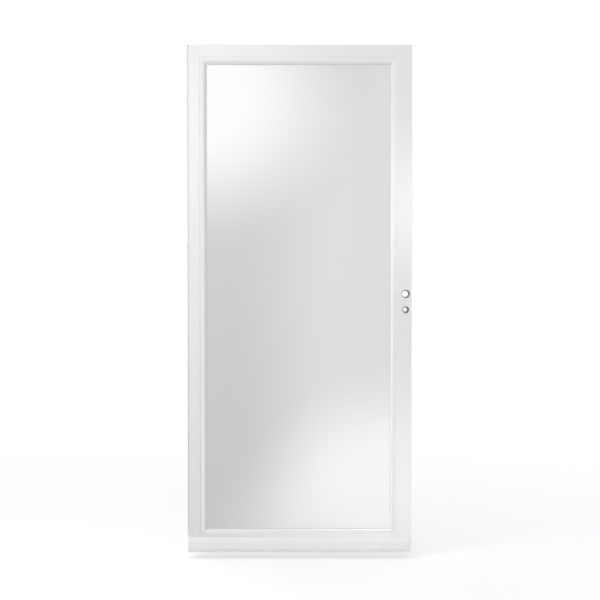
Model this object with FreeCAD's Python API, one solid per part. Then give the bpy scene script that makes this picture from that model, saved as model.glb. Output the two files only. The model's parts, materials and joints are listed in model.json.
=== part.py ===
import FreeCAD, Part
import math
import os

# Aluminium storm door: a glazed leaf hung on its hinge-side rail by a full-length hinge.
# Millimetres. X runs from the jamb to the lock edge, Y from outdoors to indoors, Z up.
# Heights are measured from the sweep's tips and shifted to the rail's middle on export.

# Overall sizes
overall_width = 899.0
overall_height = 2032.0
leaf_thickness = 38.0
wall = 1.6
corner_radius = 1.0
lip_edge_radius = 0.5
joint_line = 0.1
mitre_play = 0.08

# Full-length hinge
barrel_radius = 2.2
barrel_proud = 2.2
pin_radius = 1.1
pin_clearance = 0.05
pin_tail = 1.5
knuckle_count = 27
knuckle_gap = 0.4
knuckle_notch = 1.0
strip_thickness = 1.2
strip_back_margin = 7.0

# Hinge-side rail on the jamb, with its stop behind the leaf
rail_wall = 1.5
rail_stop_reach = 32.0
rail_stop_gap = 9.2
rail_above_expander = 6.5
jamb_screw_count = 6
jamb_screw_radius = 2.6
jamb_screw_y = 6.0
jamb_screw_end_margin = 110.0

# Bulb weatherstrip on the stop
bulb_radius = 4.0
bulb_wall = 1.0
bulb_centre_x = 24.0
bulb_leaf_gap = 0.6

# Leaf frame faces, from the outer edge to the lip that covers the insert
hinge_stile_face = 46.6
lock_stile_face = 57.0
top_rail_face = 46.5
bottom_rail_face = 43.0
bottom_lip_height = 60.0
side_lip_overlap = 12.0
end_lip_overlap = 8.0

# Glass insert, the same section all round; its visible width is the one above and below the glass
insert_gap = 1.0
insert_visible = 31.0
insert_land = 12.0
insert_bevel_depth = 9.0
insert_wall = 1.4
insert_nose = 1.6
insert_hollow_tip = 4.0
glass_thickness = 3.2
glass_bite = 8.0
gasket_side = 3.2
gasket_base = 2.0
gasket_setback = 1.0
back_leg_setback = 3.5

# Snap-in retainers on the indoor side
retainer_width = 24.0
retainer_edge = 2.0
retainer_land = 6.0
retainer_setback = 1.0
retainer_wall = 1.4

# Bottom expander and sweep
expander_clearance = 0.5
expander_wall = 1.6
expander_edge = 0.4
expander_tilt = 11.0
expander_slope = 13.0
expander_shoulder = 11.0
expander_lip = 5.0
expander_lip_slope = 12.0
expander_indoor_proud = 3.2
expander_indoor_shoulder = 5.0
expander_indoor_lip = 1.2
expander_indoor_lip_slope = 8.0
expander_top_gap = 0.5
expander_base = 11.5
expander_end_inset = 2.5
groove_height = 34.0
groove_width = 2.4
groove_depth = 0.8
guide_height = 20.0
guide_rib = 2.0
expander_travel = 25.0
slot_radius = 2.6
slot_count = 3
slot_low = 26.0
slot_end_margin = 150.0
keyway_width = 6.0
keyway_neck = 3.0
keyway_depth = 2.6
keyway_wall = 1.4
keyway_offset = 12.0
sweep_play = 0.15
sweep_base = 1.6
sweep_fin = 1.6
sweep_margin = 0.6
fin_tip = 0.8

# Bores for the handle and the lock
bore_edge_distance = 23.4
handle_bore_height = 1038.0
lock_bore_height = 974.5
handle_bore_outdoor_radius = 17.0
handle_bore_indoor_radius = 12.0
lock_bore_outdoor_radius = 14.0
lock_bore_indoor_radius = 8.0

# Plugs in the stile tops
cap_depth = 14.0
cap_wall = 2.0
cap_play = 0.1

# Places worked out from the sizes
face_y = -leaf_thickness / 2
back_y = leaf_thickness / 2
lip_back_y = face_y + wall
hinge_x = barrel_radius
hinge_y = face_y - barrel_proud + barrel_radius
knuckle_back_y = hinge_y + barrel_radius + knuckle_notch
leaf_left = 2 * barrel_radius
leaf_right = overall_width
leaf_top = overall_height
leaf_bottom = bottom_lip_height - bottom_rail_face
tube_left = leaf_left + hinge_stile_face - side_lip_overlap
tube_right = leaf_right - lock_stile_face + side_lip_overlap
tube_top = leaf_top - top_rail_face + end_lip_overlap
tube_bottom = bottom_lip_height - end_lip_overlap
expander_top = bottom_lip_height - expander_top_gap
expander_slope_depth = expander_slope * math.tan(math.radians(expander_tilt))
expander_shoulder_depth = expander_shoulder * math.tan(math.radians(expander_tilt / 2))
expander_inner_y = face_y - expander_clearance
expander_front_y = expander_inner_y - expander_edge - expander_slope_depth - expander_shoulder_depth
expander_back_y = back_y + expander_indoor_proud
rail_bottom = expander_top + rail_above_expander
rail_stop_y = back_y + rail_stop_gap
origin_height = (rail_bottom + leaf_top) / 2
insert_width = end_lip_overlap - insert_gap + insert_visible
channel_bottom = insert_width - gasket_setback - glass_bite - gasket_base
channel_front_y = lip_back_y + insert_bevel_depth + insert_nose
glass_front_y = channel_front_y + gasket_side
glass_back_y = glass_front_y + glass_thickness
channel_back_y = glass_back_y + gasket_side
insert_back_y = channel_back_y + insert_wall
bore_x = leaf_right - bore_edge_distance


def bulge(run, drop):
    """Arc that leaves a flat smoothly and drops away over a run: radius and halfway point."""
    radius = (run * run + drop * drop) / (2 * drop)
    half_angle = math.asin(run / radius) / 2
    return radius, radius * math.sin(half_angle), radius * (1 - math.cos(half_angle))


def spread(first, last, count):
    """Evenly spaced places from the first to the last."""
    step = (last - first) / (count - 1)
    return [first + step * index for index in range(count)]


def face_of(points):
    """Flat XY face; four numbers mean an arc to the first two by way of the last two."""
    edges = []
    spot = FreeCAD.Vector(points[-1][0], points[-1][1], 0)
    for point in points:
        target = FreeCAD.Vector(point[0], point[1], 0)
        if len(point) == 4:
            edges.append(Part.Arc(spot, FreeCAD.Vector(point[2], point[3], 0), target).toShape())
        else:
            edges.append(Part.makeLine(spot, target))
        spot = target
    return Part.Face(Part.Wire(edges))


def box(x_range, y_range, z_range):
    """Block given by its three ranges."""
    size = [high - low for low, high in (x_range, y_range, z_range)]
    return Part.makeBox(*size, FreeCAD.Vector(x_range[0], y_range[0], z_range[0]))


def rod(radius, start, along, length):
    """Round bar from a start point."""
    return Part.makeCylinder(radius, length, FreeCAD.Vector(*start), FreeCAD.Vector(*along))


def joined(shapes):
    """One solid from touching or overlapping shapes."""
    return shapes[0].fuse(shapes[1:]).removeSplitter()


def upright(profile, low, high):
    """Profile in XY run up from one height to another."""
    bar = profile.extrude(FreeCAD.Vector(0, 0, high - low))
    bar.translate(FreeCAD.Vector(0, 0, low))
    return bar


def lying(profile, left, right):
    """Profile with X as height and Y as depth, run from left to right."""
    bar = profile.extrude(FreeCAD.Vector(0, 0, right - left))
    bar.rotate(FreeCAD.Vector(0, 0, 0), FreeCAD.Vector(0, 1, 0), -90)
    bar.translate(FreeCAD.Vector(right, 0, 0))
    return bar


def flipped_x(shape, about):
    """Mirror image left to right about a place."""
    return shape.mirror(FreeCAD.Vector(about, 0, 0), FreeCAD.Vector(1, 0, 0))


def flipped_z(shape, about):
    """Mirror image top to bottom about a height."""
    return shape.mirror(FreeCAD.Vector(0, 0, about), FreeCAD.Vector(0, 0, 1))


def mitred(profile, length):
    """Profile run up over a length, with both ends mitred, just short, at the side where X grows."""
    bounds = profile.BoundBox
    low = mitre_play
    high = length - mitre_play
    wedge = Part.Face(Part.makePolygon([
        FreeCAD.Vector(0, bounds.YMin, low),
        FreeCAD.Vector(0, bounds.YMin, high),
        FreeCAD.Vector(bounds.XMax, bounds.YMin, high - bounds.XMax),
        FreeCAD.Vector(bounds.XMax, bounds.YMin, low + bounds.XMax),
        FreeCAD.Vector(0, bounds.YMin, low),
    ]))
    return upright(profile, 0, length).common(wedge.extrude(FreeCAD.Vector(0, bounds.YLength, 0)))


def ring_of_members(profile, left, right, bottom, top):
    """Four mitred members round an opening: hinge side, lock side, bottom and top."""
    hinge_side = mitred(profile, top - bottom)
    hinge_side.translate(FreeCAD.Vector(left, 0, bottom))
    lower = mitred(profile, right - left)
    lower.rotate(FreeCAD.Vector(0, 0, 0), FreeCAD.Vector(0, 1, 0), -90)
    lower.translate(FreeCAD.Vector(right, 0, bottom))
    return {
        "hinge_side": hinge_side,
        "lock_side": flipped_x(hinge_side, (left + right) / 2),
        "bottom": lower,
        "top": flipped_z(lower, (bottom + top) / 2),
    }


def frame_profile(face_width, lip):
    """Hollow frame section, X inward from the outer edge, with its lip on the outdoor side."""
    tube = face_width - lip
    turn = corner_radius * (1 - math.sqrt(0.5))
    lip_turn = lip_edge_radius * (1 - math.sqrt(0.5))
    outer = face_of([
        (corner_radius, face_y, turn, face_y + turn),
        (face_width - lip_edge_radius, face_y),
        (face_width, face_y + lip_edge_radius, face_width - lip_turn, face_y + lip_turn),
        (face_width, lip_back_y),
        (tube, lip_back_y),
        (tube, back_y),
        (corner_radius, back_y),
        (0, back_y - corner_radius, turn, back_y - turn),
        (0, face_y + corner_radius),
    ])
    hollow = face_of([
        (wall, lip_back_y),
        (tube - wall, lip_back_y),
        (tube - wall, back_y - wall),
        (wall, back_y - wall),
    ])
    return outer.cut(hollow)


def make_hinge_stile():
    stile = upright(frame_profile(hinge_stile_face, side_lip_overlap), leaf_bottom, leaf_top)
    stile.translate(FreeCAD.Vector(leaf_left, 0, 0))
    return stile


def make_lock_stile():
    """Lock stile with the two bores, wider outdoors than indoors."""
    section = frame_profile(lock_stile_face, side_lip_overlap)
    stile = flipped_x(upright(section, leaf_bottom, leaf_top), leaf_right / 2)
    bores = [
        (handle_bore_height, handle_bore_outdoor_radius, handle_bore_indoor_radius),
        (lock_bore_height, lock_bore_outdoor_radius, lock_bore_indoor_radius),
    ]
    cutters = []
    for height, outdoor_radius, indoor_radius in bores:
        cutters.append(rod(outdoor_radius, (bore_x, face_y, height), (0, 1, 0), back_y))
        cutters.append(rod(indoor_radius, (bore_x, 0, height), (0, 1, 0), back_y))
    return stile.cut(cutters)


def rail_between_stiles(face_width):
    """Rail standing at height 0, square-cut to the stiles and notched for their lips."""
    rail = lying(frame_profile(face_width, end_lip_overlap), tube_left, tube_right)
    notch = side_lip_overlap + joint_line
    notches = [
        box((tube_left, tube_left + notch), (face_y, lip_back_y), (0, face_width)),
        box((tube_right - notch, tube_right), (face_y, lip_back_y), (0, face_width)),
    ]
    return rail.cut(notches)


def make_top_rail():
    rail = flipped_z(rail_between_stiles(top_rail_face), 0)
    rail.translate(FreeCAD.Vector(0, 0, leaf_top))
    return rail


def make_bottom_rail():
    rail = rail_between_stiles(bottom_rail_face)
    rail.translate(FreeCAD.Vector(0, 0, leaf_bottom))
    return rail


def make_stile_cap(left, right):
    """Plug pressed into a stile's open top, flush with it."""
    x_range = (left + wall + cap_play, right - wall - cap_play)
    y_range = (lip_back_y + cap_play, back_y - wall - cap_play)
    plug = box(x_range, y_range, (leaf_top - cap_depth, leaf_top))
    hollow = box(
        (x_range[0] + cap_wall, x_range[1] - cap_wall),
        (y_range[0] + cap_wall, y_range[1] - cap_wall),
        (leaf_top - cap_depth, leaf_top - cap_wall),
    )
    return plug.cut(hollow)


def insert_profile():
    """Hollow sash section: flat land, rounded bevel down to the glass, and the glazing channel."""
    bevel_start = insert_width - insert_visible + insert_land
    run = insert_width - bevel_start
    radius, half_run, half_drop = bulge(run, insert_bevel_depth)
    inner = radius - insert_wall
    tip = insert_width - insert_hollow_tip
    hollow_right = channel_bottom - insert_wall
    hollow_front = lip_back_y + insert_wall

    def arc_y(distance):
        return lip_back_y + radius - math.sqrt(inner * inner - distance * distance)

    outer = face_of([
        (0, lip_back_y),
        (bevel_start, lip_back_y),
        (insert_width, lip_back_y + insert_bevel_depth, bevel_start + half_run, lip_back_y + half_drop),
        (insert_width, channel_front_y),
        (channel_bottom, channel_front_y),
        (channel_bottom, channel_back_y),
        (insert_width - back_leg_setback, channel_back_y),
        (insert_width - back_leg_setback, insert_back_y),
        (0, insert_back_y),
    ])
    half_tip = (tip - bevel_start) / 2
    hollow = face_of([
        (insert_wall, hollow_front),
        (bevel_start, hollow_front),
        (tip, arc_y(tip - bevel_start), bevel_start + half_tip, arc_y(half_tip)),
        (tip, channel_front_y - insert_wall),
        (hollow_right, channel_front_y - insert_wall),
        (hollow_right, insert_back_y - insert_wall),
        (insert_wall, insert_back_y - insert_wall),
    ])
    return outer.cut(hollow)


def gasket_profile():
    """Glazing channel that grips the glass edge, lower indoors; X from the insert's outer edge."""
    mouth = insert_width - gasket_setback
    back_mouth = insert_width - back_leg_setback
    return face_of([
        (channel_bottom, channel_front_y),
        (mouth, channel_front_y),
        (mouth, glass_front_y),
        (channel_bottom + gasket_base, glass_front_y),
        (channel_bottom + gasket_base, glass_back_y),
        (back_mouth, glass_back_y),
        (back_mouth, channel_back_y),
        (channel_bottom, channel_back_y),
    ])


def insert_opening():
    """Left, right, bottom and top of the glass insert."""
    return tube_left + insert_gap, tube_right - insert_gap, tube_bottom + insert_gap, tube_top - insert_gap


def make_glass():
    left, right, bottom, top = insert_opening()
    margin = channel_bottom + gasket_base
    return box(
        (left + margin, right - margin),
        (glass_front_y, glass_back_y),
        (bottom + margin, top - margin),
    )


def retainer_profile():
    """Hollow snap-in bead that holds the insert from indoors, X inward from the frame tube."""
    front = insert_back_y
    back = back_y - retainer_setback
    run = retainer_width - retainer_land
    radius, half_run, half_drop = bulge(run, back - front - retainer_edge)
    inner = radius - retainer_wall
    hollow_front = front + retainer_wall
    hollow_back = back - retainer_wall
    reach = math.sqrt(inner * inner - (hollow_front - back + radius) ** 2)
    half_reach = reach / 2
    half_reach_y = back - radius + math.sqrt(inner * inner - half_reach * half_reach)
    outer = face_of([
        (0, front),
        (retainer_width, front),
        (retainer_width, front + retainer_edge),
        (retainer_land, back, retainer_land + half_run, back - half_drop),
        (0, back),
    ])
    hollow = face_of([
        (retainer_wall, hollow_front),
        (retainer_land + reach, hollow_front),
        (retainer_land, hollow_back, retainer_land + half_reach, half_reach_y),
        (retainer_wall, hollow_back),
    ])
    return outer.cut(hollow)


def knuckles(first):
    """Bottom and top heights of every second hinge knuckle from the first given."""
    pitch = (leaf_top - rail_bottom) / knuckle_count
    heights = []
    for index in range(first, knuckle_count, 2):
        low = rail_bottom + pitch * index + knuckle_gap / 2
        heights.append((low, low + pitch - knuckle_gap))
    return heights


def with_knuckles(shapes, leaf_x_range, first):
    """Hinge leaf with rolled knuckles on the shared axis, bored for the pin."""
    solids = list(shapes)
    for low, high in knuckles(first):
        solids.append(box(leaf_x_range, (hinge_y, knuckle_back_y), (low, high)))
        solids.append(rod(barrel_radius, (hinge_x, hinge_y, low), (0, 0, 1), high - low))
    start = (hinge_x, hinge_y, rail_bottom)
    bore = rod(pin_radius + pin_clearance, start, (0, 0, 1), leaf_top - rail_bottom)
    return joined(solids).cut(bore)


def make_hinge_rail():
    """Jamb rail: web against the jamb, stop behind the leaf, fixed knuckles and screw holes."""
    rail_back_y = rail_stop_y + rail_wall
    span = (rail_bottom, leaf_top)
    web = box((0, rail_wall), (knuckle_back_y, rail_back_y), span)
    stop = box((0, rail_stop_reach), (rail_stop_y, rail_back_y), span)
    rail = with_knuckles([web, stop], (0, rail_wall), 0)
    first = rail_bottom + jamb_screw_end_margin
    last = leaf_top - jamb_screw_end_margin
    holes = []
    for height in spread(first, last, jamb_screw_count):
        holes.append(rod(jamb_screw_radius, (0, jamb_screw_y, height), (1, 0, 0), rail_wall))
    return rail.cut(holes)


def make_hinge_strip():
    """Moving hinge leaf on the edge of the hinge stile."""
    x_range = (leaf_left - strip_thickness, leaf_left)
    plate = box(x_range, (knuckle_back_y, back_y - strip_back_margin), (rail_bottom, leaf_top))
    return with_knuckles([plate], x_range, 1)


def make_hinge_pin():
    start = (hinge_x, hinge_y, rail_bottom - pin_tail)
    return rod(pin_radius, start, (0, 0, 1), leaf_top - rail_bottom + pin_tail)


def bulb_face(radius, tip_y, base_y):
    """Flat-based loop with a round nose."""
    shoulder_y = tip_y + radius
    return face_of([
        (bulb_centre_x - radius, base_y),
        (bulb_centre_x - radius, shoulder_y),
        (bulb_centre_x + radius, shoulder_y, bulb_centre_x, tip_y),
        (bulb_centre_x + radius, base_y),
    ])


def make_weatherstrip():
    """Hollow bulb on the stop, just clear of the closed leaf."""
    tip_y = back_y + bulb_leaf_gap
    outer = bulb_face(bulb_radius, tip_y, rail_stop_y)
    inner = bulb_face(bulb_radius - bulb_wall, tip_y + bulb_wall, rail_stop_y - bulb_wall)
    return upright(outer.cut(inner), rail_bottom, leaf_top)


def expander_side(outer_y, shoulder, lip, lip_slope):
    """Expander wall with the leaf at its right, X as height: shoulder, contact lip and guide rib."""
    hollow_y = outer_y + expander_wall
    return face_of([
        (expander_base, outer_y),
        *shoulder,
        (expander_top - lip, expander_inner_y),
        (expander_top - lip - lip_slope, hollow_y),
        (guide_height + guide_rib, hollow_y),
        (guide_height + guide_rib, expander_inner_y),
        (guide_height, expander_inner_y),
        (guide_height, hollow_y),
        (expander_base, hollow_y),
    ])


def outdoor_side():
    """Outdoor wall: a groove, then a shoulder rounded into a long slope up to the lip."""
    outer_y = expander_front_y
    tilt = math.radians(expander_tilt)
    radius = expander_shoulder / math.sin(tilt)
    slope_start = expander_top - expander_slope
    shoulder_start = slope_start - expander_shoulder
    half_way = (shoulder_start + radius * math.sin(tilt / 2), outer_y + radius * (1 - math.cos(tilt / 2)))
    shoulder = [
        (groove_height - groove_width / 2, outer_y),
        (groove_height, outer_y + groove_depth),
        (groove_height + groove_width / 2, outer_y),
        (shoulder_start, outer_y),
        (slope_start, outer_y + expander_shoulder_depth, *half_way),
        (expander_top, expander_inner_y - expander_edge),
        (expander_top, expander_inner_y),
    ]
    return expander_side(outer_y, shoulder, expander_lip, expander_lip_slope)


def indoor_side():
    """Indoor wall, as its outdoor mirror image: flat for the slots, with a short round shoulder."""
    outer_y = -expander_back_y
    shoulder_start = expander_top - expander_indoor_shoulder
    _, half_run, half_drop = bulge(expander_indoor_shoulder, expander_inner_y - outer_y)
    shoulder = [
        (shoulder_start, outer_y),
        (expander_top, expander_inner_y, shoulder_start + half_run, outer_y + half_drop),
    ]
    return expander_side(outer_y, shoulder, expander_indoor_lip, expander_indoor_lip_slope)


def keyway(centre_y):
    """Slot under the expander's base that holds the sweep's head."""
    half = keyway_width / 2 + keyway_wall
    roof = expander_base
    floor = roof - keyway_depth - keyway_wall
    block = face_of([
        (floor, centre_y - half),
        (roof, centre_y - half),
        (roof, centre_y + half),
        (floor, centre_y + half),
    ])
    room = face_of([
        (floor, centre_y - keyway_neck / 2),
        (floor + keyway_wall, centre_y - keyway_neck / 2),
        (floor + keyway_wall, centre_y - keyway_width / 2),
        (roof, centre_y - keyway_width / 2),
        (roof, centre_y + keyway_width / 2),
        (floor + keyway_wall, centre_y + keyway_width / 2),
        (floor + keyway_wall, centre_y + keyway_neck / 2),
        (floor, centre_y + keyway_neck / 2),
    ])
    return block.cut(room)


def expander_ends():
    """Left and right ends of the expander and its sweep."""
    return expander_end_inset, overall_width - expander_end_inset


def make_expander():
    """Channel that slides on the leaf's foot, with adjusting slots in its indoor wall."""
    left, right = expander_ends()
    outdoor = lying(outdoor_side(), left, right)
    indoor = lying(indoor_side(), left, right).mirror(FreeCAD.Vector(0, 0, 0), FreeCAD.Vector(0, 1, 0))
    depth = (expander_front_y, expander_back_y)
    floor = box((left, right), depth, (expander_base, expander_base + expander_wall))
    keyways = [lying(keyway(centre), left, right) for centre in (-keyway_offset, keyway_offset)]
    channel = joined([outdoor, indoor, floor] + keyways)
    cutters = []
    for place in spread(slot_end_margin, overall_width - slot_end_margin, slot_count):
        for height in (slot_low, slot_low + expander_travel):
            cutters.append(rod(slot_radius, (place, back_y, height), (0, 1, 0), expander_indoor_proud))
        cutters.append(box(
            (place - slot_radius, place + slot_radius),
            (back_y, expander_back_y),
            (slot_low, slot_low + expander_travel),
        ))
    return channel.cut(cutters)


def make_sweep():
    """Vinyl sweep: two heads in the keyways, a base strip turned up at its edges, and three tapered fins."""
    left, right = expander_ends()
    base_top = expander_base - keyway_depth - keyway_wall
    base_low = base_top - sweep_base
    front = expander_front_y + sweep_margin
    back = expander_back_y - sweep_margin
    pieces = [face_of([(base_low, front), (base_top, front), (base_top, back), (base_low, back)])]
    half_neck = keyway_neck / 2 - sweep_play
    half_head = keyway_width / 2 - sweep_play
    head_low = base_top + keyway_wall + sweep_play
    head_top = expander_base - sweep_play
    for centre in (-keyway_offset, keyway_offset):
        pieces.append(face_of([
            (base_top, centre - half_neck),
            (head_low, centre - half_neck),
            (head_low, centre - half_head),
            (head_top, centre - half_head),
            (head_top, centre + half_head),
            (head_low, centre + half_head),
            (head_low, centre + half_neck),
            (base_top, centre + half_neck),
        ]))
    edges = (front + sweep_fin / 2, back - sweep_fin / 2)
    for centre in edges:
        pieces.append(face_of([
            (base_low, centre - sweep_fin / 2),
            (base_low, centre + sweep_fin / 2),
            (head_top, centre + sweep_fin / 2),
            (head_top, centre - sweep_fin / 2),
        ]))
    for centre in (*edges, 0):
        pieces.append(face_of([
            (0, centre - fin_tip / 2),
            (base_low, centre - sweep_fin / 2),
            (base_low, centre + sweep_fin / 2),
            (0, centre + fin_tip / 2),
        ]))
    return joined([lying(piece, left, right) for piece in pieces])


def all_parts():
    """Every node by name."""
    left, right, bottom, top = insert_opening()
    parts = {
        "hinge_rail": make_hinge_rail(),
        "hinge_strip": make_hinge_strip(),
        "hinge_pin": make_hinge_pin(),
        "jamb_weatherstrip": make_weatherstrip(),
        "hinge_stile": make_hinge_stile(),
        "lock_stile": make_lock_stile(),
        "top_rail": make_top_rail(),
        "bottom_rail": make_bottom_rail(),
        "hinge_stile_cap": make_stile_cap(leaf_left, tube_left),
        "lock_stile_cap": make_stile_cap(tube_right, leaf_right),
        "glass_pane": make_glass(),
        "bottom_expander": make_expander(),
        "bottom_sweep": make_sweep(),
    }
    rings = {
        "insert": ring_of_members(insert_profile(), left, right, bottom, top),
        "gasket": ring_of_members(gasket_profile(), left, right, bottom, top),
        "retainer": ring_of_members(retainer_profile(), tube_left, tube_right, tube_bottom, tube_top),
    }
    for kind, members in rings.items():
        for place, member in members.items():
            parts[kind + "_" + place] = member
    return parts


os.makedirs("parts", exist_ok=True)
for name, shape in all_parts().items():
    shape.translate(FreeCAD.Vector(0, 0, -origin_height))
    shape.exportStep("parts/" + name + ".step")
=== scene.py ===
"""Looks of the storm door: materials, fasteners, studio and camera, in metres in the frame of the solids."""
import json
import math

import bmesh
import bpy
from mathutils import Matrix, Vector


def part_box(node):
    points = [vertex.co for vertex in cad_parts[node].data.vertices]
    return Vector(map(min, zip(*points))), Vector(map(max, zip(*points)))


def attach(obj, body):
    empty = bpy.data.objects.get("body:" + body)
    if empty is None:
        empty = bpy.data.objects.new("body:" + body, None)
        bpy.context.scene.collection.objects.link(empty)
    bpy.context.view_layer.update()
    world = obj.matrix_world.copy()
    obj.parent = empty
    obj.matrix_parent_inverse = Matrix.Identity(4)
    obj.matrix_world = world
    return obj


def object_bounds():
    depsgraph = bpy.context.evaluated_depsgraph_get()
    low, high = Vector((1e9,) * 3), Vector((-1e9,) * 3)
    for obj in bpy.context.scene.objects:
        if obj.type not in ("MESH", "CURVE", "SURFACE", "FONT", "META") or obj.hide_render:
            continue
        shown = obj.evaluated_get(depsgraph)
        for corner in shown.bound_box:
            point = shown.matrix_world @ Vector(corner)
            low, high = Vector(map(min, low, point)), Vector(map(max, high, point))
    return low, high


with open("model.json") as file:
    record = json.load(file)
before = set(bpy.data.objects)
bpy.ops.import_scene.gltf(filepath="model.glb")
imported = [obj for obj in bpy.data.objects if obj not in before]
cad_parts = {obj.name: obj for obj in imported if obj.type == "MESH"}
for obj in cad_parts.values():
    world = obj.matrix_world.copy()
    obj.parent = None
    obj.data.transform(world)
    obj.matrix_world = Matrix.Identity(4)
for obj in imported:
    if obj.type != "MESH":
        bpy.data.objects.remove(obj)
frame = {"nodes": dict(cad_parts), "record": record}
cad_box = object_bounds()
NODES = frame["nodes"]


# Places read from the solids

DOOR_LOW, DOOR_HIGH = cad_box
LEAF_LOW, LEAF_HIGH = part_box("lock_stile")
FRONT_Y = LEAF_LOW.y
MIDDLE_X = (DOOR_LOW.x + DOOR_HIGH.x) / 2


# Camera: the photograph is square, and the door fills this much of it

PHOTO_PIXELS = 600
DOOR_PIXELS_HIGH = 507.2
DOOR_BOTTOM_PIXEL = 552.0
DOOR_LEFT_PIXEL = 187.2
METRES_PER_PIXEL = (DOOR_HIGH.z - DOOR_LOW.z) / DOOR_PIXELS_HIGH
CAMERA_DISTANCE = 5.0
CAMERA_PITCH = math.radians(1.15)
AIM_PIXEL = (300.0, 299.0)
SENSOR = 36.0


def photo_point(column, row):
    """The point on the plane of the door's front face that the photograph shows at a pixel."""
    x = DOOR_LOW.x + (column - DOOR_LEFT_PIXEL) * METRES_PER_PIXEL
    z = DOOR_LOW.z + (DOOR_BOTTOM_PIXEL - row) * METRES_PER_PIXEL
    return Vector((x, FRONT_Y, z))


def make_camera():
    target = photo_point(*AIM_PIXEL)
    data = bpy.data.cameras.new("camera")
    data.sensor_width = SENSOR
    data.lens = SENSOR * CAMERA_DISTANCE / (PHOTO_PIXELS * METRES_PER_PIXEL)
    camera = bpy.data.objects.new("camera", data)
    rise = CAMERA_DISTANCE * math.tan(CAMERA_PITCH)
    camera.location = target + Vector((0, -CAMERA_DISTANCE, rise))
    camera.rotation_euler = (math.pi / 2 - CAMERA_PITCH, 0, 0)
    bpy.context.collection.objects.link(camera)
    bpy.context.scene.camera = camera
    bpy.context.scene.view_settings.view_transform = "Standard"
    return camera


# Node helpers

def add_node(tree, kind, **settings):
    """A shader node, with its properties set by name and its inputs by the name in inputs."""
    made = tree.nodes.new(kind)
    for key, value in settings.pop("inputs", {}).items():
        made.inputs[key].default_value = value
    for key, value in settings.items():
        setattr(made, key, value)
    return made


def new_material(name, **values):
    """A material with one Principled shader; values are its plain socket values."""
    material = bpy.data.materials.new(name)
    material.use_nodes = True
    tree = material.node_tree
    shader = tree.nodes["Principled BSDF"]
    for key, value in values.items():
        shader.inputs[key.replace("_", " ").title().replace("Ior", "IOR")].default_value = value
    return material, tree, shader


def own_coordinates(tree, stretch=(1, 1, 1)):
    """Coordinates that move with the piece, stretched by a scale for each axis."""
    coordinates = add_node(tree, "ShaderNodeTexCoord")
    mapping = add_node(tree, "ShaderNodeMapping", inputs={"Scale": stretch})
    tree.links.new(coordinates.outputs["Object"], mapping.inputs["Vector"])
    return mapping.outputs["Vector"]


def noise(tree, vector, scale, detail):
    made = add_node(tree, "ShaderNodeTexNoise", inputs={"Scale": scale, "Detail": detail})
    tree.links.new(vector, made.inputs["Vector"])
    return made.outputs["Fac"]


# Most values of a noise texture lie between these two
NOISE_LOW = 0.3
NOISE_HIGH = 0.7


def ranged(tree, value, low, high, start=NOISE_LOW, end=NOISE_HIGH):
    """A value from low to high as the input goes from start to end."""
    made = add_node(
        tree, "ShaderNodeMapRange",
        inputs={"From Min": start, "From Max": end, "To Min": low, "To Max": high},
    )
    tree.links.new(value, made.inputs["Value"])
    return made.outputs["Result"]


def two_colours(tree, factor, first, second):
    made = add_node(tree, "ShaderNodeMix", data_type="RGBA")
    made.inputs["A"].default_value = (*first, 1)
    made.inputs["B"].default_value = (*second, 1)
    tree.links.new(factor, made.inputs["Factor"])
    return made.outputs["Result"]


def bumped(tree, height, strength, distance, below=None):
    made = add_node(tree, "ShaderNodeBump", inputs={"Strength": strength, "Distance": distance})
    tree.links.new(height, made.inputs["Height"])
    if below is not None:
        tree.links.new(below, made.inputs["Normal"])
    return made.outputs["Normal"]


def combined(tree, first, second, operation="ADD"):
    """One value from two."""
    made = add_node(tree, "ShaderNodeMath", operation=operation)
    tree.links.new(first, made.inputs[0])
    tree.links.new(second, made.inputs[1])
    return made.outputs["Value"]


def mixed(tree, factor, first, second):
    """A shader that goes from the first to the second as the factor goes from 0 to 1."""
    made = add_node(tree, "ShaderNodeMixShader")
    tree.links.new(factor, made.inputs["Fac"])
    tree.links.new(first, made.inputs[1])
    tree.links.new(second, made.inputs[2])
    return made.outputs["Shader"]


def added(tree, first, second):
    """The sum of two shaders."""
    made = add_node(tree, "ShaderNodeAddShader")
    tree.links.new(first, made.inputs[0])
    tree.links.new(second, made.inputs[1])
    return made.outputs["Shader"]


def glow(tree, strength):
    """Plain white light of a strength that a node gives."""
    made = add_node(tree, "ShaderNodeEmission")
    tree.links.new(strength, made.inputs["Strength"])
    return made.outputs["Emission"]


def round_fall(tree, vector):
    """1 at the middle of a round patch, falling to 0 at its edge."""
    made = add_node(tree, "ShaderNodeTexGradient", gradient_type="SPHERICAL")
    tree.links.new(vector, made.inputs["Vector"])
    return made.outputs["Fac"]


# Materials. A pattern is a noise texture's scale and detail, and a relief is a bump's strength and height

def vary(tree, shader, pattern, colours, roughness):
    """Colour and roughness that both follow one pattern, each between its two values."""
    tree.links.new(two_colours(tree, ranged(tree, pattern, 0, 1), *colours), shader.inputs["Base Color"])
    tree.links.new(ranged(tree, pattern, *roughness), shader.inputs["Roughness"])


DOOR_WHITE = (0.72, 0.72, 0.707)
# The expander's white is lighter than the door's: partly its own paint, and partly painted light that offsets
# the shade near the floor and stands in for the highlight along its top
EXPANDER_WHITE_AND_LIGHT = (0.78, 0.78, 0.78)
THIN_COAT = 0.988
PAINT_ROUGHNESS_SPREAD = 0.02
CLEAR_COAT = 0.3
CLEAR_COAT_ROUGHNESS = 0.06
# The door's paint has a glossy coat, and the expander's is plain satin: coat and roughness
ENAMEL = (CLEAR_COAT, 0.3)
SATIN = (0.0, 0.5)
COAT_PATTERN = (5.0, 3.0)
PEEL_PATTERN = (700.0, 2.0)
PEEL_RELIEF = (0.05, 0.0002)
DIE_LINE_PATTERN = (450.0, 2.0)
DIE_LINE_RELIEF = (0.02, 0.0002)
# Stretch of the die lines along an extrusion that stands or lies
UPRIGHT = (1, 1, 0.004)
LEVEL = (0.004, 1, 1)


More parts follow.
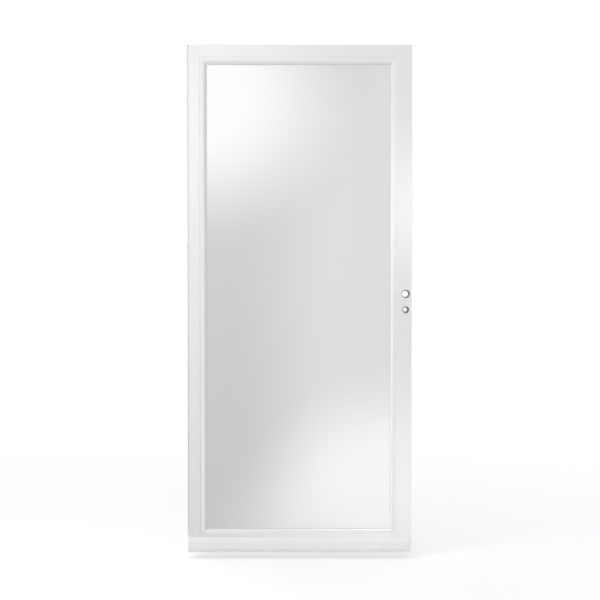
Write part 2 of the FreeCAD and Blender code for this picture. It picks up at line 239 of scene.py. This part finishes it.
def paint(name, grain, colour, finish=ENAMEL):
    """Baked white enamel on an extrusion: orange peel, and faint die lines along its length."""
    coat, roughness = finish
    material, tree, shader = new_material(name, coat_weight=coat, coat_roughness=CLEAR_COAT_ROUGHNESS)
    spread = noise(tree, own_coordinates(tree), *COAT_PATTERN)
    thin = [channel * THIN_COAT for channel in colour]
    rough = (roughness - PAINT_ROUGHNESS_SPREAD, roughness + PAINT_ROUGHNESS_SPREAD)
    vary(tree, shader, spread, (colour, thin), rough)
    peel = noise(tree, own_coordinates(tree), *PEEL_PATTERN)
    lines = noise(tree, own_coordinates(tree, grain), *DIE_LINE_PATTERN)
    skin = bumped(tree, peel, *PEEL_RELIEF)
    tree.links.new(bumped(tree, lines, *DIE_LINE_RELIEF, skin), shader.inputs["Normal"])
    return material


GLASS_TINT = (0.592, 0.597, 0.595)
GLASS_TINT_THICK = (0.600, 0.606, 0.603)
# Above plain float glass, so that the pane mirrors the studio as strongly as in the photograph
GLASS_INDEX = 1.8
BAND_PATTERN = (3.0, 1.0)
BAND_STRETCH = (1, 1, 0.15)


def glass(name):
    """Clear float glass: a faint grey tint with the slow bands of the drawn ribbon."""
    material, tree, shader = new_material(name, roughness=0.0, ior=GLASS_INDEX, transmission_weight=1.0)
    bands = noise(tree, own_coordinates(tree, BAND_STRETCH), *BAND_PATTERN)
    tint = two_colours(tree, ranged(tree, bands, 0, 1), GLASS_TINT, GLASS_TINT_THICK)
    tree.links.new(tint, shader.inputs["Base Color"])
    open_to_lamps = add_node(tree, "ShaderNodeBsdfTransparent")
    tree.links.new(tint, open_to_lamps.inputs["Color"])
    path = add_node(tree, "ShaderNodeLightPath")
    either = mixed(tree, path.outputs["Is Shadow Ray"], shader.outputs["BSDF"], open_to_lamps.outputs["BSDF"])
    tree.links.new(either, tree.nodes["Material Output"].inputs["Surface"])
    return material


# Vinyl pieces: colour, worn colour and roughness
SEAL = ((0.88, 0.88, 0.865), (0.84, 0.84, 0.825), 0.55)
SWEEP = ((0.74, 0.74, 0.72), (0.67, 0.67, 0.65), 0.5)
PLASTIC = ((0.74, 0.745, 0.715), (0.70, 0.705, 0.675), 0.42)
VINYL_ROUGHNESS_SPREAD = 0.08
MOTTLE_PATTERN = (40.0, 4.0)
SKIN_PATTERN = (1400.0, 3.0)
SKIN_RELIEF = (0.15, 0.0002)


def vinyl(name, colour, worn, roughness):
    """Extruded soft vinyl: mottled, matt, with a fine skin."""
    material, tree, shader = new_material(name)
    mottle = noise(tree, own_coordinates(tree), *MOTTLE_PATTERN)
    rough = (roughness - VINYL_ROUGHNESS_SPREAD, roughness + VINYL_ROUGHNESS_SPREAD)
    vary(tree, shader, mottle, (colour, worn), rough)
    skin = noise(tree, own_coordinates(tree), *SKIN_PATTERN)
    tree.links.new(bumped(tree, skin, *SKIN_RELIEF), shader.inputs["Normal"])
    return material


# Steel pieces: colour and dull colour
PIN_STEEL = ((0.62, 0.62, 0.61), (0.50, 0.50, 0.49))
ZINC = ((0.66, 0.66, 0.65), (0.54, 0.54, 0.53))
STEEL_ROUGHNESS = (0.22, 0.42)
FINISH_PATTERN = (260.0, 4.0)
TURNING_PATTERN = (300.0, 2.0)
TURNING_STRETCH = (1, 1, 12)
TURNING_RELIEF = (0.1, 0.0001)


def steel(name, colour, dull):
    """Zinc-plated steel: streaks of finish and faint turning marks."""
    material, tree, shader = new_material(name, metallic=1.0)
    patch = noise(tree, own_coordinates(tree), *FINISH_PATTERN)
    vary(tree, shader, patch, (colour, dull), STEEL_ROUGHNESS)
    marks = noise(tree, own_coordinates(tree, TURNING_STRETCH), *TURNING_PATTERN)
    tree.links.new(bumped(tree, marks, *TURNING_RELIEF), shader.inputs["Normal"])
    return material


LEVEL_WORDS = ("top", "bottom")


def dress_nodes():
    paint_upright = paint("white_paint_upright", UPRIGHT, DOOR_WHITE)
    paint_level = paint("white_paint_level", LEVEL, DOOR_WHITE)
    seal = vinyl("seal_rubber", *SEAL)
    sweep = vinyl("sweep_vinyl", *SWEEP)
    plastic = vinyl("white_plastic", *PLASTIC)
    pin = steel("pin_steel", *PIN_STEEL)
    chosen = {
        "glass_pane": glass("clear_glass"),
        "hinge_pin": pin,
        "bottom_expander": paint("white_paint_expander", LEVEL, EXPANDER_WHITE_AND_LIGHT, SATIN),
        "bottom_sweep": sweep,
        "hinge_stile_cap": plastic,
        "lock_stile_cap": plastic,
        "jamb_weatherstrip": seal,
    }
    for name, node in NODES.items():
        level = any(word in name for word in LEVEL_WORDS)
        material = chosen.get(name, paint_level if level else paint_upright)
        if name.startswith("gasket"):
            material = seal
        node.data.materials.clear()
        node.data.materials.append(material)


# Fasteners. A head is an outline of (radius, height) points, and a recess is its cross's reach and depth

SCREW_SIDES = 40
SMOOTH_BELOW = math.radians(35)
WELD_DISTANCE = 1e-6
MM_PER_METRE = 1000
LOW_HEAD = [(0, 0.0007), (0.0016, 0.00068), (0.0030, 0.00052), (0.0038, 0.0003), (0.0041, 0.0), (0, 0)]
LOW_RECESS = (0.0019, 0.0004)
PAN_HEAD = [
    (0, 0.0034), (0.0018, 0.0033), (0.0031, 0.0029), (0.0038, 0.0021), (0.0039, 0.0010),
    (0.0058, 0.0009), (0.0060, 0.0005), (0.0060, 0.0), (0.0021, 0.0), (0.0021, -0.0032), (0, -0.0032),
]
PAN_RECESS = (0.0021, 0.0014)
CROSS_SLIMNESS = 5
CROSS_TAPER = 0.55
# Walls that screws sit on, as thick as in the solids
WEB_WALL = 0.0015
STRIP_WALL = 0.0012
STRIP_SCREWS = 7
STRIP_SCREW_MARGIN = 0.05
# Heights of a corner's screws, as shares of its rail's height
CORNER_SCREW_PLACES = (0.22, 0.62)
EXPANDER_SLOT_MARGIN = 0.150
EXPANDER_SCREW_RISE = 0.0185
# Each screw's cross is turned by this angle from the one before
JAMB_SCREW_TURN = 0.9
STRIP_SCREW_TURN = 0.7
CORNER_SCREW_TURN = 1.1
EXPANDER_SCREW_TURN = 0.5


def turned(name, outline):
    """A solid of revolution about Z from its (radius, height) outline."""
    form = bmesh.new()
    line = [form.verts.new((radius, 0, height)) for radius, height in outline]
    edges = [form.edges.new(pair) for pair in zip(line, line[1:])]
    bmesh.ops.spin(
        form, geom=line + edges, cent=(0, 0, 0), axis=(0, 0, 1), angle=math.tau, steps=SCREW_SIDES
    )
    bmesh.ops.remove_doubles(form, verts=form.verts, dist=WELD_DISTANCE)
    bmesh.ops.recalc_face_normals(form, faces=form.faces)
    mesh = bpy.data.meshes.new(name)
    form.to_mesh(mesh)
    form.free()
    return mesh


def cross_bit(reach, half_width, top, depth):
    """A cross-shaped driver bit, narrower at its tip."""
    plan = []
    for quarter in range(4):
        turn = Matrix.Rotation(quarter * math.pi / 2, 2)
        for x, y in ((reach, -half_width), (reach, half_width), (half_width, half_width)):
            plan.append(turn @ Vector((x, y)))
    count = len(plan)
    corners = [(x, y, top) for x, y in plan]
    corners += [(CROSS_TAPER * x, CROSS_TAPER * y, top - depth) for x, y in plan]
    faces = [tuple(range(count)), tuple(reversed(range(count, 2 * count)))]
    for index in range(count):
        after = (index + 1) % count
        faces.append((index, index + count, after + count, after))
    mesh = bpy.data.meshes.new("bit")
    mesh.from_pydata(corners, [], faces)
    return mesh


def screw_mesh(name, outline, reach, depth):
    """A screw head with a cross recess."""
    top = outline[0][1]
    bodies = []
    for mesh in (turned(name, outline), cross_bit(reach, reach / CROSS_SLIMNESS, 2 * top, top + depth)):
        body = bpy.data.objects.new(mesh.name, mesh)
        bpy.context.collection.objects.link(body)
        bodies.append(body)
    head, bit = bodies
    recess = head.modifiers.new("recess", "BOOLEAN")
    recess.object = bit
    recess.solver = "EXACT"
    made = bpy.data.meshes.new_from_object(head.evaluated_get(bpy.context.evaluated_depsgraph_get()))
    made.name = name
    for body in bodies:
        bpy.data.objects.remove(body)
    made.shade_smooth()
    made.set_sharp_from_angle(angle=SMOOTH_BELOW)
    return made


def place_screw(mesh, name, place, facing, turn, body):
    screw = bpy.data.objects.new(name, mesh)
    spin = Matrix.Rotation(turn, 4, "Z")
    tilt = Vector(facing).to_track_quat("Z", "Y").to_matrix().to_4x4()
    screw.matrix_world = Matrix.Translation(place) @ tilt @ spin
    bpy.context.collection.objects.link(screw)
    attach(screw, body)


def jamb_screws(mesh):
    """Screws that hold the hinge rail to the jamb, in the record's bolt patterns."""
    patterns = [mount for mount in frame["record"]["mounts"] if mount["kind"] == "bolt_pattern"]
    across = patterns[0]["pos_m"][1]
    heights = []
    for pattern in patterns:
        half = pattern["dims"]["spacing_y_mm"] / 2 / MM_PER_METRE
        heights += [-half, half]
    for index, height in enumerate(sorted(heights)):
        place = Vector((DOOR_LOW.x + WEB_WALL, across, height))
        place_screw(mesh, f"jamb_screw_{index}", place, (1, 0, 0), JAMB_SCREW_TURN * index, "jamb_rail")


def strip_screws(mesh):
    """Screws that hold the hinge strip to the hinge stile's edge."""
    low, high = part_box("hinge_strip")
    span = high.z - low.z - 2 * STRIP_SCREW_MARGIN
    for index in range(STRIP_SCREWS):
        height = low.z + STRIP_SCREW_MARGIN + span * index / (STRIP_SCREWS - 1)
        place = Vector((high.x - STRIP_WALL, 0, height))
        place_screw(mesh, f"strip_screw_{index}", place, (-1, 0, 0), STRIP_SCREW_TURN * index, "leaf")


def corner_screws(mesh):
    """Screws through the lock stile's edge into the ends of the rails."""
    for rail in ("top_rail", "bottom_rail"):
        low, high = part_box(rail)
        for index, share in enumerate(CORNER_SCREW_PLACES):
            place = Vector((LEAF_HIGH.x, 0, low.z + share * (high.z - low.z)))
            place_screw(mesh, f"{rail}_screw_{index}", place, (1, 0, 0), CORNER_SCREW_TURN * index, "leaf")


def expander_screws(mesh):
    """Screws in the expander's indoor slots, which stay with the leaf when the expander slides."""
    low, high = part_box("bottom_expander")
    slots = (DOOR_LOW.x + EXPANDER_SLOT_MARGIN, MIDDLE_X, DOOR_HIGH.x - EXPANDER_SLOT_MARGIN)
    for index, x in enumerate(slots):
        place = Vector((x, high.y, low.z + EXPANDER_SCREW_RISE))
        place_screw(mesh, f"expander_screw_{index}", place, (0, 1, 0), EXPANDER_SCREW_TURN * index, "leaf")


def make_fasteners():
    zinc = steel("screw_steel", *ZINC)
    low_head = screw_mesh("low_head", LOW_HEAD, *LOW_RECESS)
    pan_head = screw_mesh("pan_head", PAN_HEAD, *PAN_RECESS)
    for mesh in (low_head, pan_head):
        mesh.materials.clear()
        mesh.materials.append(zinc)
    jamb_screws(low_head)
    strip_screws(low_head)
    corner_screws(low_head)
    expander_screws(pan_head)


# Studio

SQUARE = ((-1, -1), (1, -1), (1, 1), (-1, 1))
FLOOR_DROP = 0.026
FLOOR_Z = DOOR_LOW.z - FLOOR_DROP
FLOOR_REACH = 30.0
FLOOR_GREY = (0.8, 0.8, 0.8, 1)
# Distances from the floor's middle at which it starts and ends fading to plain white
FLOOR_NEAR = 1.3
FLOOR_FAR = 3.5
# Light that the floor gives off where it is seen
FLOOR_LIFT = 0.26
# The room's light, and how far it rises to the hinge side and falls to the lock side
WORLD_LEVEL = 0.86
WORLD_SLANT = 0.3
BACKDROP_DISTANCE = 5.6
BACKDROP_LEVEL = 1.0
# The most that soft boxes add together
BACKDROP_RISE = 10.0
BACKDROP_MIDDLE_PIXEL = PHOTO_PIXELS / 2
BACKDROP_REACH_PIXELS = PHOTO_PIXELS
# Soft boxes, by their image in the pane: centre and radii in pixels, share of level light, strength.
# The first is a grey card that takes light away, and fades out before the backdrop's edge.
SOFT_BOXES = {
    "card": ((300, 300), (590, 590), 0.45, -0.5),
    "high": ((206, 90), (165, 165), 0.2, 4.1),
    "tail": ((206, 150), (180, 300), 0.0, 0.8),
    "low": ((396, 562), (195, 204), 0.5, 2.4),
    "side": ((470, 340), (240, 520), 0.55, 1.65),
}
WIDE = math.pi
# Lamps: place and target from the door's centre, size, beam, watts
LAMPS = {
    "key": ((-1.5, -1.6, 0.45), (0, 0, 0.1), (0.8, 0.8), math.radians(150), 9.0),
    "top": ((-0.9, -1.3, 2.0), (0, 0, 0), (1.5, 1.5), WIDE, 1.4),
    "low": ((0.45, -0.9, -0.6), (0.33, 0, -0.78), (0.5, 0.5), math.radians(64), 0.17),
    "spot": ((0.75, -0.8, 0.38), (0.43, 0, 0.38), (0.2, 0.2), math.radians(50), 0.13),
}
# Soft panels, facing the door's centre: place from there, size, strength
PANELS = {
    "rim": ((-3.0, -1.8, -0.4), (1.7, 7.0), 5.0),
    "bevel": ((-1.95, -3.0, 0.2), (1.3, 7.0), 2.6),
    "sheen": ((0.6, -1.3, 2.25), (2.0, 1.1), 16.0),
}
# Share of a panel's radius over which it brightens from its edge
PANEL_SOFT_EDGE = 0.5


def seen_rays(tree):
    """1 for rays that show the background: camera, glossy and transmission rays."""
    path = add_node(tree, "ShaderNodeLightPath")
    seen = combined(tree, path.outputs["Is Camera Ray"], path.outputs["Is Glossy Ray"], "MAXIMUM")
    return combined(tree, seen, path.outputs["Is Transmission Ray"], "MAXIMUM")


def make_world():
    """A white room, lighter towards the hinge side, that camera, gloss and glass see as plain white."""
    world = bpy.data.worlds.new("studio")
    bpy.context.scene.world = world
    world.use_nodes = True
    tree = world.node_tree
    background = tree.nodes["Background"]
    background.inputs["Color"].default_value = (1, 1, 1, 1)
    direction = add_node(tree, "ShaderNodeTexCoord")
    parts = add_node(tree, "ShaderNodeSeparateXYZ")
    tree.links.new(direction.outputs["Generated"], parts.inputs["Vector"])
    room = ranged(tree, parts.outputs["X"], WORLD_LEVEL + WORLD_SLANT, WORLD_LEVEL - WORLD_SLANT, -1.0, 1.0)
    level = add_node(tree, "ShaderNodeMix", inputs={"B": 1.0})
    tree.links.new(seen_rays(tree), level.inputs["Factor"])
    tree.links.new(room, level.inputs["A"])
    tree.links.new(level.outputs["Result"], background.inputs["Strength"])


def flat_sheet(name, corners):
    mesh = bpy.data.meshes.new(name)
    mesh.from_pydata([tuple(corner) for corner in corners], [], [tuple(range(len(corners)))])
    sheet = bpy.data.objects.new(name, mesh)
    bpy.context.collection.objects.link(sheet)
    return sheet


def bare_material(name):
    """An empty node tree with an output, for the floor, the backdrop or a panel."""
    material = bpy.data.materials.new(name)
    material.use_nodes = True
    tree = material.node_tree
    tree.nodes.clear()
    return material, tree, add_node(tree, "ShaderNodeOutputMaterial")


def make_floor():
    """Pale and matt near the door, where its shadow falls, and plain white further off."""
    floor = flat_sheet("floor", [(MIDDLE_X + x * FLOOR_REACH, y * FLOOR_REACH, FLOOR_Z) for x, y in SQUARE])
    material, tree, output = bare_material("pale_floor")
    seen = seen_rays(tree)
    matt = add_node(tree, "ShaderNodeBsdfDiffuse", inputs={"Color": FLOOR_GREY})
    lift = glow(tree, ranged(tree, seen, 0.0, FLOOR_LIFT, 0.0, 1.0))
    near = added(tree, matt.outputs["BSDF"], lift)
    white = add_node(tree, "ShaderNodeEmission")
    distance = add_node(tree, "ShaderNodeVectorMath", operation="LENGTH")
    place = add_node(tree, "ShaderNodeTexCoord")
    tree.links.new(place.outputs["Object"], distance.inputs[0])
    away = ranged(tree, distance.outputs["Value"], 0.0, 1.0, FLOOR_NEAR, FLOOR_FAR)
    both = mixed(tree, combined(tree, away, seen, "MULTIPLY"), near, white.outputs["Emission"])
    tree.links.new(both, output.inputs["Surface"])
    floor.data.materials.append(material)
    floor.visible_glossy = False


def aim(thing, place, target):
    """Put a lamp or panel in its place, facing the target."""
    thing.location = place
    thing.rotation_euler = (target - place).to_track_quat("-Z", "Y").to_euler()


def lamp(name, place, target, size, beam, watts):
    """A lamp that lights the door without an image in gloss or glass."""
    data = bpy.data.lights.new(name, "AREA")
    data.shape = "ELLIPSE"
    data.size, data.size_y = size
    data.spread = beam
    data.energy = watts
    made = bpy.data.objects.new(name, data)
    aim(made, place, target)
    bpy.context.collection.objects.link(made)
    made.visible_camera = False
    made.visible_transmission = False
    made.visible_glossy = False


def only_in_gloss(sheet):
    sheet.visible_camera = False
    sheet.visible_diffuse = False
    sheet.visible_shadow = False
    sheet.visible_transmission = False


def panel(name, place, target, size, strength):
    """A soft panel facing the target, brightest at its middle and clear at its edge and to the pane."""
    width, height = size
    sheet = flat_sheet(name, [(x, y, 0) for x, y in SQUARE])
    aim(sheet, place, target)
    sheet.scale = (width / 2, height / 2, 1)
    material, tree, output = bare_material(name)
    coordinates = add_node(tree, "ShaderNodeTexCoord")
    fall = round_fall(tree, coordinates.outputs["Object"])
    level = ranged(tree, fall, 0.0, strength, 0.0, PANEL_SOFT_EDGE)
    path = add_node(tree, "ShaderNodeLightPath")
    off_the_pane = ranged(tree, path.outputs["Is Singular Ray"], 1.0, 0.0, 0.0, 1.0)
    light = glow(tree, combined(tree, level, off_the_pane, "MULTIPLY"))
    clear = add_node(tree, "ShaderNodeBsdfTransparent")
    tree.links.new(added(tree, light, clear.outputs["BSDF"]), output.inputs["Surface"])
    sheet.data.materials.append(material)
    only_in_gloss(sheet)


def make_lamps():
    """Lamps for the door's matt light, and soft panels that only its gloss shows."""
    centre = Vector((MIDDLE_X, 0, (DOOR_LOW.z + DOOR_HIGH.z) / 2))
    for name, (place, target, *settings) in LAMPS.items():
        lamp(name, centre + Vector(place), centre + Vector(target), *settings)
    for name, (place, size, strength) in PANELS.items():
        panel(name, centre + Vector(place), centre, size, strength)


def mirrored(camera, column, row):
    """The point of the backdrop behind the camera that the pane mirrors at a pixel of the photograph."""
    on_pane = photo_point(column, row)
    along = 1 + BACKDROP_DISTANCE / CAMERA_DISTANCE
    seen = camera.location + (on_pane - camera.location) * along
    return Vector((seen.x, FRONT_Y - BACKDROP_DISTANCE, seen.z))


def soft_box(tree, camera, centre, radii, plateau, strength):
    """Light of a soft box on the backdrop; centre and radii are in pixels of its image in the pane."""
    middle = mirrored(camera, *centre)
    corner = mirrored(camera, centre[0] + radii[0], centre[1] - radii[1])
    scale = (corner.x - middle.x, 1.0, corner.z - middle.z)
    place = add_node(tree, "ShaderNodeTexCoord")
    mapping = add_node(
        tree, "ShaderNodeMapping", vector_type="TEXTURE", inputs={"Location": middle, "Scale": scale}
    )
    tree.links.new(place.outputs["Object"], mapping.inputs["Vector"])
    level = add_node(
        tree, "ShaderNodeMapRange", interpolation_type="SMOOTHSTEP",
        inputs={"From Min": 0.0, "From Max": 1.0 - plateau, "To Min": 0.0, "To Max": strength},
    )
    tree.links.new(round_fall(tree, mapping.outputs["Vector"]), level.inputs["Value"])
    return level.outputs["Result"]


def backdrop_corner(camera, x, y):
    column = BACKDROP_MIDDLE_PIXEL + x * BACKDROP_REACH_PIXELS
    row = BACKDROP_MIDDLE_PIXEL - y * BACKDROP_REACH_PIXELS
    return mirrored(camera, column, row)


def make_backdrop(camera):
    """The white studio wall behind the camera with its soft boxes, which only gloss shows."""
    wall = flat_sheet("backdrop", [backdrop_corner(camera, x, y) for x, y in SQUARE])
    material, tree, output = bare_material("backdrop")
    lit, *others = [soft_box(tree, camera, *box) for box in SOFT_BOXES.values()]
    for level in others:
        lit = combined(tree, lit, level)
    raised = ranged(tree, lit, 0.0, BACKDROP_LEVEL + BACKDROP_RISE, -BACKDROP_LEVEL, BACKDROP_RISE)
    tree.links.new(glow(tree, raised), output.inputs["Surface"])
    wall.data.materials.append(material)
    only_in_gloss(wall)


def make_studio(camera):
    make_world()
    make_floor()
    make_backdrop(camera)
    make_lamps()


camera = make_camera()
dress_nodes()
make_fasteners()
make_studio(camera)
